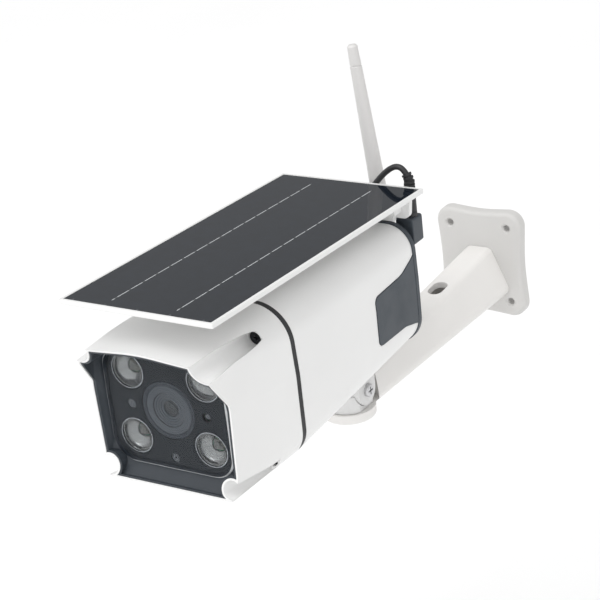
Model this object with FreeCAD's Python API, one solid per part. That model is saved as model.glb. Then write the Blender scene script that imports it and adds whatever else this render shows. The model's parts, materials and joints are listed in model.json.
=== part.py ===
import FreeCAD, Part
import math
import os

# Security camera with a solar panel on top and an arm to the wall.  Millimetres, +Z up.
# Origin: centre of the wall plate's back face.  The wall is the plane Y = 0 and the camera looks along -Y.

V = FreeCAD.Vector
X_AXIS = V(1, 0, 0)
Y_AXIS = V(0, 1, 0)
Z_AXIS = V(0, 0, 1)

# ---- driving dimensions ---------------------------------------------------------------------------
GAP = 0.3                     # clearance between pieces that move past each other
RUN = 0.05                    # radial running clearance of pins in their holes

# wall plate and arm
PLATE_W, PLATE_H, PLATE_T = 70.0, 84.0, 9.0
PLATE_CORNER_R, PLATE_WAIST = 11.0, 3.0
WALL_HOLE_DX, WALL_HOLE_DZ, WALL_HOLE_R = 46.0, 58.0, 2.5
ARM_WALL = 3.0
ARM_ROOT = dict(top_w=9.5, top_z=12.8, bottom_w=25.5, bottom_z=-24.0)
ARM_END = dict(top_w=11.5, top_z=-5.0, bottom_w=17.5, bottom_z=-25.5)
CABLE_HOLE_Y, CABLE_HOLE_W, CABLE_HOLE_L = -75.0, 11.0, 18.0

# swivel: pan about the vertical axis through PAN_Y, tilt about the cross bolt at TILT_Z
PAN_Y = -205.5
TILT_Z = -9.3
PAD_R, PAD_TOP, PAD_BOTTOM = 18.0, -22.5, -29.3
LUG_R, LUG_IN, LUG_OUT = 10.4, 7.6, 15.5
HEAD_R, HEAD_FLAT, HEAD_TOP = 16.0, 13.6, -10.5
ARM_END_R = 20.6              # the arm stops short of the turning lugs
PAN_BOLT_R, TILT_BOLT_R = 4.0, 2.5

# camera body
Y_LIP, Y_JOINT, Y_TAIL = -416.0, -331.4, -186.0
GASKET_T, GASKET_INSET = 4.4, 0.25
WALL, RIM_INSET = 2.5, 5.5    # body wall, and the inner edge of the joint's flange
FRONT = dict(z_bot=19.6, w_bot=46.8, r_bot=3.6, w_sh=49.0, z_sh=79.0, r_sh=25.0,
             w_top=45.0, z_cor=107.0, r_top=6.0, z_apex=111.2)
JOINT = dict(z_bot=9.0, w_bot=49.2, r_bot=21.6, w_sh=49.4, z_sh=66.0, r_sh=25.0,
             w_top=47.0, z_cor=109.6, r_top=24.5, z_apex=110.6)
TAIL = dict(z_bot=19.6, w_bot=47.6, r_bot=20.0, w_sh=47.9, z_sh=66.0, r_sh=25.0,
            w_top=47.0, z_cor=102.6, r_top=17.5, z_apex=103.6)
RIM_PROFILE = [(-450, 140), (-416.2, 140), (-415.4, 108.4), (-411.6, 96.2), (-400, 79), (-400, 33),
               (-402.4, 21.5), (-402.9, 5), (-450, 5)]

# screw channels along the four corners of the front cover: (y, x, z, r) from the front to the end wall
CHANNEL_TOP = ((-419.0, 44.5, 106.5, 8.7), (-387.0, 42.1, 104.0, 5.9), (-356.0, 39.6, 99.6, 5.2))
CHANNEL_BOTTOM = ((-419.0, 43.9, 27.2, 6.5), (-357.0, 43.5, 19.5, 5.5))
COVER_SCREW_TOP, COVER_SCREW_BOTTOM = (39.2, 99.1, -356.0, 4.35), (42.0, 21.0, -357.0, 3.1)
COVER_SCREW_R = 1.6           # the screws above: x, z, y of the end wall, and radius of the head
SCREW_SEAT = 4.4              # depth of the head's seat behind the end wall

# face: window, lamps and lens
Y_WINDOW, WINDOW_T = -396.0, 2.0
WINDOW = dict(z_bot=27.2, w_bot=42.8, r_bot=15.0, w_sh=43.0, z_sh=66.0, r_sh=25.0,
              w_top=42.5, z_cor=99.0, r_top=11.0, z_apex=99.3)
REBATE, LIP = 1.3, 1.3        # cover wall at the rim, and the black lip inside it
LENS_Z = 64.8
LAMP_X, LAMP_DZ, LAMP_R = 26.5, 21.0, 11.4
LAMP_LENS_R, LAMP_RIM_R = 10.2, 10.7
LENS_RING_R, SHIELD_R = 15.5, 18.6
SENSOR_R = 2.9

# solar panel, parallel to the slope of the body's roof
PANEL_W, PANEL_L, PANEL_T = 106.2, 237.8, 3.0
PANEL_CENTRE = V(0, -292.8, 130.0)
PANEL_PITCH = -2.4            # degrees about +X: the front edge is the higher one
PANEL_BORDER, PANEL_CORNER_R, CELL_T = 2.0, 1.2, 0.9
BUSBAR_X, BUSBAR_W = 22.5, 0.7
BUSBAR_Y0, BUSBAR_Y1 = -108.5, 105.5
FLANGE_Y0, FLANGE_Y1 = -181.2, -177.6
BRACKET_SCREWS = [(-14.0, -196.0), (14.0, -196.0)]

# antenna
ANT_X, ANT_Y, ANT_Z = 11.6, -157.0, 91.0
ANT_LEAN = 5.6                # degrees towards -X in the stored pose
ANT_LENGTH, ANT_R_LOW, ANT_R_TIP = 121.0, 5.4, 3.4

# power lead from the panel to the port on the camera's back
LEAD_R = 1.95
PORT_X0, PORT_X1, PORT_Y0, PORT_Y1 = 31.5, 44.2, -176.5, -163.6
PORT_Z0, PORT_Z1 = 81.5, 103.4
PLUG_X, PLUG_Y = 39.8, -169.4
LEAD_ROUTE = [(-8.0, -170.5, 110.0), (0.0, -170.2, 110.8), (7.5, -169.7, 115.2), (14.0, -169.3, 121.8),
              (20.5, -169.2, 129.0), (26.7, -169.2, 134.1), (31.9, -169.3, 136.3), (36.3, -169.4, 135.1),
              (38.8, -169.4, 131.2)]
BOOT_ROUTE = [(39.8, -169.4, 119.6), (40.4, -169.4, 127.8), (38.8, -169.4, 131.2)]

# service bay on the camera's back
BAY_X, BAY_Z0, BAY_Z1, BAY_DEPTH = 17.0, 44.0, 66.0, 7.0
Y_BACK = -172.0


# ---- helpers --------------------------------------------------------------------------------------
def save(name, shape):
    """Write one sub-part, named after its node."""
    shape.exportStep("parts/%s.step" % name)
    print("%-20s solids %2d  volume %10.1f" % (name, len(shape.Solids), shape.Volume))


def cyl(x, y, z, r, h, axis=Z_AXIS):
    return Part.makeCylinder(r, h, V(x, y, z), axis)


def cone(x, y, z, r1, r2, h, axis=Z_AXIS):
    return Part.makeCone(r1, r2, h, V(x, y, z), axis)


def box(x0, y0, z0, x1, y1, z1):
    return Part.makeBox(x1 - x0, y1 - y0, z1 - z0, V(x0, y0, z0))


def rounded_wire(points, radii, place):
    """Closed wire through the points with each corner turned into a tangent arc of its own radius."""
    count = len(points)
    stations = []
    for i in range(count):
        a = V(points[i - 1][0], points[i - 1][1], 0)
        b = V(points[i][0], points[i][1], 0)
        c = V(points[(i + 1) % count][0], points[(i + 1) % count][1], 0)
        to_a = (a - b).normalize()
        to_c = (c - b).normalize()
        half = to_a.getAngle(to_c) / 2
        if radii[i] <= 0 or half > math.pi / 2 - 1e-4:
            stations.append((b, None, b))
            continue
        reach = radii[i] / math.tan(half)
        bisector = (to_a + to_c).normalize()
        middle = b + bisector * (radii[i] / math.sin(half) - radii[i])
        stations.append((b + to_a * reach, middle, b + to_c * reach))
    edges = []
    for i in range(count):
        start, middle, end = stations[i]
        if middle is not None:
            edges.append(Part.Arc(place(start), place(middle), place(end)).toShape())
        following = stations[(i + 1) % count][0]
        if (following - end).Length > 1e-6:
            edges.append(Part.LineSegment(place(end), place(following)).toShape())
    return Part.Wire(edges)


def on_y(y):
    """Maps a flat outline (u, v) to the plane Y = y as (x, z)."""
    return lambda p: V(p.x, y, p.y)


def on_x(x):
    """Maps a flat outline (u, v) to the plane X = x as (y, z)."""
    return lambda p: V(x, p.x, p.y)


def on_z(z):
    return lambda p: V(p.x, p.y, z)


def prism(points, radii, place, direction):
    return Part.Face(rounded_wire(points, radii, place)).extrude(direction)


def loft(wires):
    return Part.makeLoft(wires, True, True)


def group(shapes):
    return Part.makeCompound(shapes)


def body_outline(y, d, inset=0.0):
    """Outline of the camera body at one station: flat floor, soft shoulders and an arched roof."""
    i = inset
    points = [(-d["w_bot"] + i, d["z_bot"] + i), (d["w_bot"] - i, d["z_bot"] + i), (d["w_sh"] - i, d["z_sh"]),
              (d["w_top"] - i, d["z_cor"] - i), (0, d["z_apex"] - i), (-d["w_top"] + i, d["z_cor"] - i),
              (-d["w_sh"] + i, d["z_sh"])]
    r_bot = max(d["r_bot"] - i, 1.0)
    r_top = max(d["r_top"] - i, 1.0)
    radii = [r_bot, r_bot, d["r_sh"], r_top, 150.0, r_top, d["r_sh"]]
    return rounded_wire(points, radii, on_y(y))


def between(d1, d2, t):
    """Body outline dimensions at the fraction t of the way from d1 to d2."""
    return {k: d1[k] + (d2[k] - d1[k]) * t for k in d1}


def cover_loft(inset, y0=-418.0, y1=None):
    if y1 is None:
        y1 = Y_JOINT - GASKET_T / 2
    span = Y_JOINT - Y_LIP
    first = between(FRONT, JOINT, (y0 - Y_LIP) / span)
    last = between(FRONT, JOINT, (y1 - Y_LIP) / span)
    return loft([body_outline(y0, first, inset), body_outline(y1, last, inset)])


def shell_loft(inset, y0=None, y1=Y_TAIL):
    if y0 is None:
        y0 = Y_JOINT + GASKET_T / 2
    span = Y_TAIL - Y_JOINT
    first = between(JOINT, TAIL, (y0 - Y_JOINT) / span)
    last = between(JOINT, TAIL, (y1 - Y_JOINT) / span)
    return loft([body_outline(y0, first, inset), body_outline(y1, last, inset)])


def channels(extra, lengthen=0.0):
    """The four corner channels, thickened by extra and with the end wall moved back by lengthen."""
    cuts = []
    for stations in (CHANNEL_TOP, CHANNEL_BOTTOM):
        for side in (1, -1):
            wires = []
            for y, x, z, r in stations:
                centre = V(side * x, y, z)
                if y == stations[-1][0]:
                    centre.y += lengthen
                wires.append(Part.Wire(Part.makeCircle(r + extra, centre, Y_AXIS)))
            cuts.append(loft(wires))
    return cuts[0].fuse(cuts[1:])


def in_front_of_rim(offset):
    """Everything in front of the rim's side profile, moved back by offset."""
    points = [(y + offset, z) for y, z in RIM_PROFILE]
    radii = [0, 0, 4.0, 30.0, 5.0, 3.0, 3.0, 0, 0]
    return prism(points, radii, on_x(-70), V(140, 0, 0))


COVER_SCREWS = [(side * x, z, y, r) for x, z, y, r in (COVER_SCREW_TOP, COVER_SCREW_BOTTOM)
                for side in (1, -1)]


# ---- wall bracket ---------------------------------------------------------------------------------
def arm_outline(y, d, inset=0.0):
    low, high = d["bottom_w"] - inset * 1.3, d["top_w"] - inset * 0.8
    z_low, z_high = d["bottom_z"] + inset, d["top_z"] - inset
    points = [(-low, z_low), (low, z_low), (high, z_high), (-high, z_high)]
    radii = [6.0 - inset, 6.0 - inset, 5.0 - inset, 5.0 - inset]
    return rounded_wire(points, radii, on_y(y))


def make_wall_bracket():
    w, h = PLATE_W / 2, PLATE_H / 2
    outline = [(-w, -h), (0, -h + PLATE_WAIST), (w, -h), (w - PLATE_WAIST, 0), (w, h), (0, h - PLATE_WAIST),
               (-w, h), (-w + PLATE_WAIST, 0)]
    r = PLATE_CORNER_R
    radii = [r, 130.0, r, 190.0, r, 130.0, r, 190.0]
    plate = prism(outline, radii, on_y(-PLATE_T), V(0, PLATE_T, 0))
    front_edges = [e for e in plate.Edges if e.BoundBox.YMax < -PLATE_T + 0.01]
    plate = plate.makeFillet(3.2, front_edges)
    for sx in (-1, 1):
        for sz in (-1, 1):
            x, z = sx * WALL_HOLE_DX / 2, sz * WALL_HOLE_DZ / 2
            plate = plate.cut(cyl(x, -PLATE_T - 1, z, WALL_HOLE_R, PLATE_T + 2, Y_AXIS))
            plate = plate.cut(cone(x, -PLATE_T, z, WALL_HOLE_R + 1.2, WALL_HOLE_R, 1.2, Y_AXIS))
    end_y = PAN_Y + ARM_END_R + 6
    arm = loft([arm_outline(-PLATE_T + 0.5, ARM_ROOT), arm_outline(PAN_Y, ARM_END)])
    hollow = loft([arm_outline(1.0, ARM_ROOT, ARM_WALL), arm_outline(end_y, ARM_END, ARM_WALL)])
    pad = cyl(0, PAN_Y, PAD_BOTTOM, PAD_R, PAD_TOP - PAD_BOTTOM)
    pad = pad.makeFillet(1.2, [e for e in pad.Edges if e.BoundBox.ZMax < PAD_BOTTOM + 0.01])
    arm = arm.cut(cyl(0, PAN_Y, PAD_TOP, ARM_END_R, 60))
    behind = box(-60, PAN_Y, -60, 60, 10, 60)
    arm = arm.common(behind)
    bracket = plate.fuse([arm, pad]).cut(hollow)
    slot_w, slot_l = CABLE_HOLE_W / 2, CABLE_HOLE_L / 2
    slot = [(-slot_w, -slot_l), (slot_w, -slot_l), (slot_w, slot_l), (-slot_w, slot_l)]
    slot = [(x, y + CABLE_HOLE_Y) for x, y in slot]
    bracket = bracket.cut(prism(slot, [slot_w - 0.1] * 4, on_z(-6.0), V(0, 0, 40)))
    bracket = bracket.cut(cyl(0, PAN_Y, PAD_BOTTOM - 1, PAN_BOLT_R + RUN, 20))
    bracket = bracket.cut(cyl(0, PAN_Y, PAD_BOTTOM - 1, 8.2, 4.0))
    return bracket.removeSplitter()


# ---- pan head -------------------------------------------------------------------------------------
def make_swivel_head():
    base = cyl(0, PAN_Y, PAD_TOP + GAP, HEAD_R, HEAD_TOP - PAD_TOP - GAP)
    base = base.common(box(-HEAD_FLAT, -300, -60, HEAD_FLAT, 0, 60))
    seat = cyl(-30, PAN_Y, TILT_Z, LUG_R + 0.4, 60, X_AXIS)
    tongue_w = LUG_IN - GAP
    tongue_r = LUG_R - 0.4
    neck = box(-tongue_w, PAN_Y - tongue_r, PAD_TOP + GAP, tongue_w, PAN_Y + tongue_r, TILT_Z)
    tongue = cyl(-tongue_w, PAN_Y, TILT_Z, tongue_r, 2 * tongue_w, X_AXIS)
    head = base.cut(seat).fuse([neck, tongue])
    head = head.cut(cyl(-20, PAN_Y, TILT_Z, TILT_BOLT_R + RUN, 40, X_AXIS))
    head = head.cut(cyl(0, PAN_Y, PAD_TOP - 5, 2.5, 12))
    return head.removeSplitter()


def make_pan_bolt():
    """Shoulder bolt from below: the pad turns on its plain shoulder, its thread is tight in the head."""
    flange = cyl(0, PAN_Y, PAD_BOTTOM + 0.2, 6.0, 2.5)
    shoulder = cyl(0, PAN_Y, PAD_BOTTOM + 2.7, PAN_BOLT_R, PAD_TOP + GAP - PAD_BOTTOM - 2.7)
    thread = cyl(0, PAN_Y, PAD_TOP + GAP - 0.01, 2.5, 6.7)
    socket = prism(hexagon(0, PAN_Y, 2.5), [0] * 6, on_z(PAD_BOTTOM + 0.1), V(0, 0, 2.0))
    return flange.fuse([shoulder, thread]).cut(socket).removeSplitter()


def hexagon(u, v, r):
    return [(u + r * math.cos(math.radians(60 * k)), v + r * math.sin(math.radians(60 * k))) for k in range(6)]


# ---- camera foot ----------------------------------------------------------------------------------
FOOT_TOP, FOOT_X, FOOT_Y0, FOOT_Y1 = 16.8, 22.5, PAN_Y - 16.0, PAN_Y + 13.0
FOOT_SCREWS = [(sx * 18.8, PAN_Y + dy) for sx in (-1, 1) for dy in (-11.0, 8.5)]


def make_mount_foot():
    base = prism([(-FOOT_X, FOOT_Y0), (FOOT_X, FOOT_Y0), (FOOT_X, FOOT_Y1), (-FOOT_X, FOOT_Y1)], [4] * 4,
                 on_z(FOOT_TOP - 4.5), V(0, 0, 4.5))
    fork = box(-LUG_OUT, PAN_Y - LUG_R, TILT_Z, LUG_OUT, PAN_Y + LUG_R, FOOT_TOP - 1)
    lugs = cyl(-LUG_OUT, PAN_Y, TILT_Z, LUG_R, 2 * LUG_OUT, X_AXIS)
    foot = base.fuse([fork, lugs])
    slot_top = TILT_Z + 12.2
    foot = foot.cut(box(-LUG_IN, PAN_Y - 30, TILT_Z - 30, LUG_IN, PAN_Y + 30, slot_top))
    foot = foot.cut(cyl(-30, PAN_Y, TILT_Z, TILT_BOLT_R, 60, X_AXIS))
    nut_pocket = prism(hexagon(PAN_Y, TILT_Z, 4.7), [0] * 6, on_x(-LUG_OUT - 1), V(3.6, 0, 0))
    foot = foot.cut(nut_pocket)
    for x, y in FOOT_SCREWS:
        foot = foot.cut(cyl(x, y, FOOT_TOP - 10, 1.7, 12))
    return foot.removeSplitter()


def make_tilt_bolt():
    head = cyl(LUG_OUT, PAN_Y, TILT_Z, 4.5, 2.6, X_AXIS)
    head = head.makeFillet(1.0, [e for e in head.Edges if e.BoundBox.XMin > LUG_OUT + 2.5])
    shank = cyl(-LUG_OUT - 0.4, PAN_Y, TILT_Z, TILT_BOLT_R, 2 * LUG_OUT + 0.4, X_AXIS)
    cross = box(LUG_OUT + 1.1, PAN_Y - 2.8, TILT_Z - 0.5, LUG_OUT + 3, PAN_Y + 2.8, TILT_Z + 0.5)
    cross = cross.fuse(box(LUG_OUT + 1.1, PAN_Y - 0.5, TILT_Z - 2.8, LUG_OUT + 3, PAN_Y + 0.5, TILT_Z + 2.8))
    return head.fuse(shank).cut(cross).removeSplitter()


def make_tilt_nut():
    nut = prism(hexagon(PAN_Y, TILT_Z, 4.6), [0] * 6, on_x(-LUG_OUT - 0.2), V(2.8, 0, 0))
    return nut.cut(cyl(-30, PAN_Y, TILT_Z, TILT_BOLT_R, 60, X_AXIS))


def make_foot_screws():
    screws = []
    for x, y in FOOT_SCREWS:
        head = cone(x, y, FOOT_TOP - 6.3, 3.0, 2.4, 1.8)
        shank = cyl(x, y, FOOT_TOP - 4.6, 1.7, 9.0)
        screws.append(head.fuse(shank).removeSplitter())
    return group(screws)


# ---- front cover, shell, gasket and back ----------------------------------------------------------
def make_front_cover():
    outer = cover_loft(0).cut(channels(0))
    inner = cover_loft(WALL, -419.0, Y_JOINT)
    inner = inner.cut(channels(1.8, 1.8))
    posts = []
    for x, z, y, r in COVER_SCREWS:
        posts.append(cyl(x, y - 1, z, 6.4, 60, Y_AXIS))
    inner = inner.cut(posts[0].fuse(posts[1:]))
    rebate = cover_loft(REBATE, -419.0, Y_WINDOW + WINDOW_T + 2.2).cut(channels(REBATE))
    cover = outer.cut(inner).cut(rebate).cut(in_front_of_rim(0))
    for x, z, y, r in COVER_SCREWS:
        cover = cover.cut(cyl(x, y - 1, z, r + 0.2, SCREW_SEAT + 1, Y_AXIS))
        cover = cover.cut(cyl(x, y - 1, z, COVER_SCREW_R, 60, Y_AXIS))
    return cover.removeSplitter()


def make_cover_screws():
    screws = []
    for x, z, y, r in COVER_SCREWS:
        y_seat = y + SCREW_SEAT
        head = cyl(x, y_seat - 2.4, z, r, 2.4, Y_AXIS)
        shank = cyl(x, y_seat - 0.1, z, COVER_SCREW_R, Y_JOINT + 14 - y_seat, Y_AXIS)
        slot = box(x - 2, y_seat - 3, z - 0.45, x + 2, y_seat - 1.2, z + 0.45)
        slot = slot.fuse(box(x - 0.45, y_seat - 3, z - 2, x + 0.45, y_seat - 1.2, z + 2))
        screws.append(head.fuse(shank).cut(slot).removeSplitter())
    return group(screws)


def make_body_gasket():
    y0 = Y_JOINT - GASKET_T / 2
    solid = shell_loft(GASKET_INSET, y0, y0 + GASKET_T)
    ring = solid.cut(shell_loft(RIM_INSET, y0 - 1, y0 + GASKET_T + 1))
    for x, z, y, r in COVER_SCREWS:
        ring = ring.fuse(cyl(x, y0, z, 5.0, GASKET_T, Y_AXIS).common(solid))
        ring = ring.cut(cyl(x, y0 - 1, z, COVER_SCREW_R, GASKET_T + 2, Y_AXIS))
    return ring.removeSplitter()


CHEEK_RADII = [0, 16.0, 25.0, 4.5, 4.5, 25.0, 16.0, 0]


def cheek_zone(inset):
    """Side view of the cheeks that wrap forward from the back cap."""
    i = inset
    points = [(-170, 92 - i), (-190, 81.5 - i), (-203, 76.4 - i), (-237.6 + i, 75.0 - i),
              (-237.6 + i, 41.0 + i), (-203, 40.3 + i), (-190, 37.0 + i), (-170, 30 + i)]
    zone = prism(points, CHEEK_RADII, on_x(-70), V(140, 0, 0))
    return zone.cut(box(-30, -300, 0, 30, -100, 150))


def make_main_shell():
    shell = shell_loft(0).cut(shell_loft(WALL, -325.0, Y_TAIL + 1))
    shell = shell.cut(shell_loft(RIM_INSET, Y_JOINT - 1, -324.0))
    inside = shell_loft(0.2, Y_JOINT + GASKET_T / 2, -200.0)
    posts = [cyl(x, Y_JOINT + GASKET_T / 2, z, 5.0, 20, Y_AXIS).common(inside)
             for x, z, y, r in COVER_SCREWS]
    pad = box(-FOOT_X, FOOT_Y0, FOOT_TOP, FOOT_X, FOOT_Y1, FOOT_TOP + 8.0)
    shell = shell.fuse(posts + [pad])
    shell = shell.cut(cheek_zone(0))
    for x, z, y, r in COVER_SCREWS:
        shell = shell.cut(cyl(x, Y_JOINT, z, COVER_SCREW_R, 14, Y_AXIS))
    for x, y in FOOT_SCREWS:
        shell = shell.cut(cyl(x, y, FOOT_TOP - 1, 1.7, 5.4))
    for x, y in BRACKET_SCREWS:
        shell = shell.cut(cyl(x, y, 90, 1.6, 20))
    speaker_holes = [cyl(6.0 * i, -290 + 6.0 * j, 10, 1.0, 16) for i in (-1, 0, 1) for j in (-1, 0, 1)]
    shell = shell.cut(speaker_holes[0].fuse(speaker_holes[1:]))
    return shell.removeSplitter()


BACK_DOME = dict(z_bot=34.5, w_bot=37.0, r_bot=10.0, w_sh=38.5, z_sh=66.0, r_sh=25.0,
                 w_top=37.0, z_cor=98.0, r_top=14.0, z_apex=98.6)
CAP_SCREWS = [(-31.0, 44.0), (31.0, 44.0), (-24.0, 86.0), (24.5, 82.0)]


def back_solid(inset):
    """Flange and dome of the back cap, as a solid set in by inset."""
    flange_end = Y_TAIL + 3.5
    flange = loft([body_outline(Y_TAIL, TAIL, inset - 0.7), body_outline(flange_end, TAIL, inset - 0.7)])
    dome = loft([body_outline(flange_end, TAIL, inset + 0.6), body_outline(Y_BACK, BACK_DOME, inset)])
    return flange.fuse(dome)


def make_rear_cap():
    cap = back_solid(0)
    tail_room = loft([body_outline(Y_TAIL - 1, TAIL, WALL + 1.0), body_outline(Y_TAIL + 3.0, TAIL, WALL + 1.0)])
    dome_room = loft([body_outline(Y_TAIL + 2.9, TAIL, WALL + 1.0), body_outline(Y_BACK - 2.5, BACK_DOME, 2.4)])
    cap = cap.cut(tail_room.fuse(dome_room))
    spigot = shell_loft(WALL + 0.15, Y_TAIL - 6, Y_TAIL + 1).cut(shell_loft(WALL + 2.0, Y_TAIL - 7, Y_TAIL + 2))
    cheeks = shell_loft(-0.5, -260, Y_TAIL + 0.5).cut(shell_loft(WALL, -261, Y_TAIL + 1))
    cheeks = cheeks.common(cheek_zone(GAP))
    cap = cap.fuse([spigot, cheeks])
    bay_y = Y_BACK - BAY_DEPTH
    bay_wall = box(-BAY_X - 2, bay_y - 2, BAY_Z0 - 2, BAY_X + 2, Y_BACK - 0.5, BAY_Z1 + 2)
    cap = cap.fuse(bay_wall).cut(box(-BAY_X, bay_y, BAY_Z0, BAY_X, Y_BACK + 1, BAY_Z1))
    cap = cap.cut(box(-13.0, bay_y - 3, 57.0, -4.0, bay_y + 1, 60.4))
    cap = cap.cut(box(-13.6, bay_y - 3, 49.4, -1.4, bay_y + 1, 51.6))
    cap = cap.cut(box(*SWITCH_SLOT_LOW, *SWITCH_SLOT_HIGH))
    cap = cap.cut(cyl(RESET_X, bay_y - 3, RESET_Z, RESET_R + GAP, 4, Y_AXIS))
    cap = cap.cut(cyl(ANT_X, Y_BACK - 5, ANT_Z, 3.2, 6, Y_AXIS))
    for x, z in CAP_SCREWS:
        cap = cap.cut(cyl(x, Y_BACK - 6, z, 1.6, 8, Y_AXIS))
    return cap.removeSplitter()


RESET_X, RESET_Z, RESET_R = 4.0, 50.4, 1.6
SWITCH_SLOT_LOW = (1.0, Y_BACK - BAY_DEPTH - 3, 57.0)
SWITCH_SLOT_HIGH = (13.0, Y_BACK - BAY_DEPTH + 1, 61.4)


def make_cap_screws():
    screws = []
    for x, z in CAP_SCREWS:
        head = cyl(x, Y_BACK, z, 2.9, 1.7, Y_AXIS)
        head = head.makeFillet(0.8, [e for e in head.Edges if e.BoundBox.YMin > Y_BACK + 1.6])
        shank = cyl(x, Y_BACK - 12, z, 1.6, 12.1, Y_AXIS)
        cross = box(x - 1.7, Y_BACK + 0.8, z - 0.35, x + 1.7, Y_BACK + 3, z + 0.35)
        cross = cross.fuse(box(x - 0.35, Y_BACK + 0.8, z - 1.7, x + 0.35, Y_BACK + 3, z + 1.7))
        screws.append(head.fuse(shank).cut(cross).removeSplitter())
    return group(screws)


# ---- face: bezel, window, lamps, lens --------------------------------------------------------------
Y_FLOOR = Y_WINDOW + WINDOW_T           # front of the ledge that the window stands on
Y_MASK = Y_FLOOR + 0.2
Y_LED_BOARD = Y_FLOOR + 8.0
LAMPS = [(sx * LAMP_X, LENS_Z + sz * LAMP_DZ) for sx in (-1, 1) for sz in (-1, 1)]
SENSORS = dict(light_sensor=(-26.4, LENS_Z), status_lamp=(26.4, LENS_Z), microphone=(0.0, 34.0))


def make_face_bezel():
    outer = cover_loft(REBATE + 0.05, -419.0, Y_FLOOR + 2.2).cut(channels(REBATE + 0.05))
    rim_in = REBATE + LIP
    rim_end = between(FRONT, JOINT, (-400.5 - Y_LIP) / (Y_JOINT - Y_LIP))
    straight = cover_loft(rim_in, -420.0, -400.5)
    sloped = loft([body_outline(-400.5, rim_end, rim_in), body_outline(Y_FLOOR, WINDOW, -0.7)])
    dish = straight.fuse(sloped).cut(channels(rim_in))
    opening = loft([body_outline(Y_FLOOR - 1, WINDOW, 1.5), body_outline(Y_FLOOR + 4, WINDOW, 1.5)])
    bezel = outer.cut(dish).cut(opening).cut(in_front_of_rim(0.35))
    return bezel.removeSplitter()


def make_face_window():
    pane = loft([body_outline(Y_WINDOW, WINDOW, 0.0), body_outline(Y_FLOOR, WINDOW, 0.0)])
    front = [e for e in pane.Edges if e.BoundBox.YMax < Y_WINDOW + 0.01]
    pane = pane.makeChamfer(1.0, front)
    return pane.cut(channels(LIP + REBATE + 0.4))


def make_face_mask():
    mask = loft([body_outline(Y_MASK, WINDOW, 1.6), body_outline(Y_MASK + 2.0, WINDOW, 1.6)])
    mask = mask.cut(cyl(0, Y_MASK - 1, LENS_Z, SHIELD_R + 0.1, 6, Y_AXIS))
    for x, z in LAMPS:
        mask = mask.cut(cone(x, Y_MASK - 0.01, z, LAMP_R + 0.8, LAMP_R, 0.8, Y_AXIS))
        mask = mask.cut(cyl(x, Y_MASK - 1, z, LAMP_R, 6, Y_AXIS))
    for x, z in SENSORS.values():
        mask = mask.cut(cyl(x, Y_MASK - 1, z, SENSOR_R, 6, Y_AXIS))
    return mask.cut(channels(LIP + REBATE + 0.4)).removeSplitter()


def revolve_y(profile, x, z):
    """Solid of revolution about the line parallel to Y through (x, z); the profile is (radius, y)."""
    points = [V(x + r, y, z) for r, y in profile]
    face = Part.Face(Part.makePolygon(points + points[:1]))
    return face.revolve(V(x, 0, z), Y_AXIS, 360)


def make_lamp_holders():
    y0, y1, r = Y_MASK + 0.5, Y_LED_BOARD, LAMP_RIM_R + 0.1
    profile = [(r, y0), (LAMP_R - 0.2, y0), (LAMP_R - 0.05, y0 + 0.8), (LAMP_R - 0.05, y1), (r, y1)]
    return group([revolve_y(profile, x, z) for x, z in LAMPS])


def make_reflectors():
    y0, y1 = Y_MASK + 2.8, Y_LED_BOARD - 0.1
    profile = [(LAMP_LENS_R, y0), (LAMP_RIM_R, y0), (LAMP_RIM_R, y1), (3.9, y1), (4.2, y1 - 0.6), (7.8, y0 + 2.4)]
    return group([revolve_y(profile, x, z) for x, z in LAMPS])


def make_lamp_lenses():
    """Plano-convex lens with a thin rim, domed towards the window."""
    y_rim = Y_MASK + 1.6
    bulge, r = 1.5, LAMP_LENS_R
    sphere_r = (r * r + bulge * bulge) / (2 * bulge)
    lenses = []
    for x, z in LAMPS:
        rim = cyl(x, y_rim, z, LAMP_RIM_R, 1.1, Y_AXIS)
        ball = Part.makeSphere(sphere_r, V(x, y_rim - bulge + sphere_r, z))
        dome = ball.common(cyl(x, y_rim - bulge - 1, z, r, bulge + 1.2, Y_AXIS))
        lenses.append(rim.fuse(dome).removeSplitter())
    return group(lenses)


def make_lamp_chips():
    y1 = Y_LED_BOARD
    chips = []
    for x, z in LAMPS:
        base = box(x - 2.6, y1 - 0.9, z - 2.6, x + 2.6, y1, z + 2.6)
        emitter = cyl(x, y1 - 1.3, z, 1.3, 0.5, Y_AXIS)
        chips.append(base.fuse(emitter).removeSplitter())
    return group(chips)


def make_led_board():
    board = loft([body_outline(Y_LED_BOARD, WINDOW, 1.5), body_outline(Y_LED_BOARD + 1.6, WINDOW, 1.5)])
    board = board.cut(cyl(0, Y_LED_BOARD - 1, LENS_Z, 10.0, 4, Y_AXIS))
    return board.cut(channels(4.6))


def make_lens_shield():
    y0 = Y_MASK - 0.05
    profile = [(LENS_RING_R + 0.1, y0 + 0.4), (LENS_RING_R + 0.7, y0), (SHIELD_R - 0.5, y0), (SHIELD_R, y0 + 0.5),
               (SHIELD_R, Y_LED_BOARD), (LENS_RING_R + 0.1, Y_LED_BOARD)]
    return revolve_y(profile, 0, LENS_Z)


def make_lens_face():
    """Ring round the lens: a flat outer band, then shallow steps down to the glass."""
    y0 = Y_MASK + 0.3
    profile = [(LENS_RING_R, y0 + 3.0), (LENS_RING_R, y0), (11.0, y0), (10.6, y0 + 0.5), (9.6, y0 + 0.5),
               (9.2, y0 + 1.0), (8.2, y0 + 1.0), (7.8, y0 + 1.5), (6.9, y0 + 1.5), (6.5, y0 + 2.0), (5.4, y0 + 2.2),
               (5.4, y0 + 3.4), (9.0, y0 + 3.4), (9.0, y0 + 3.0)]
    return revolve_y(profile, 0, LENS_Z)


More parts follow.
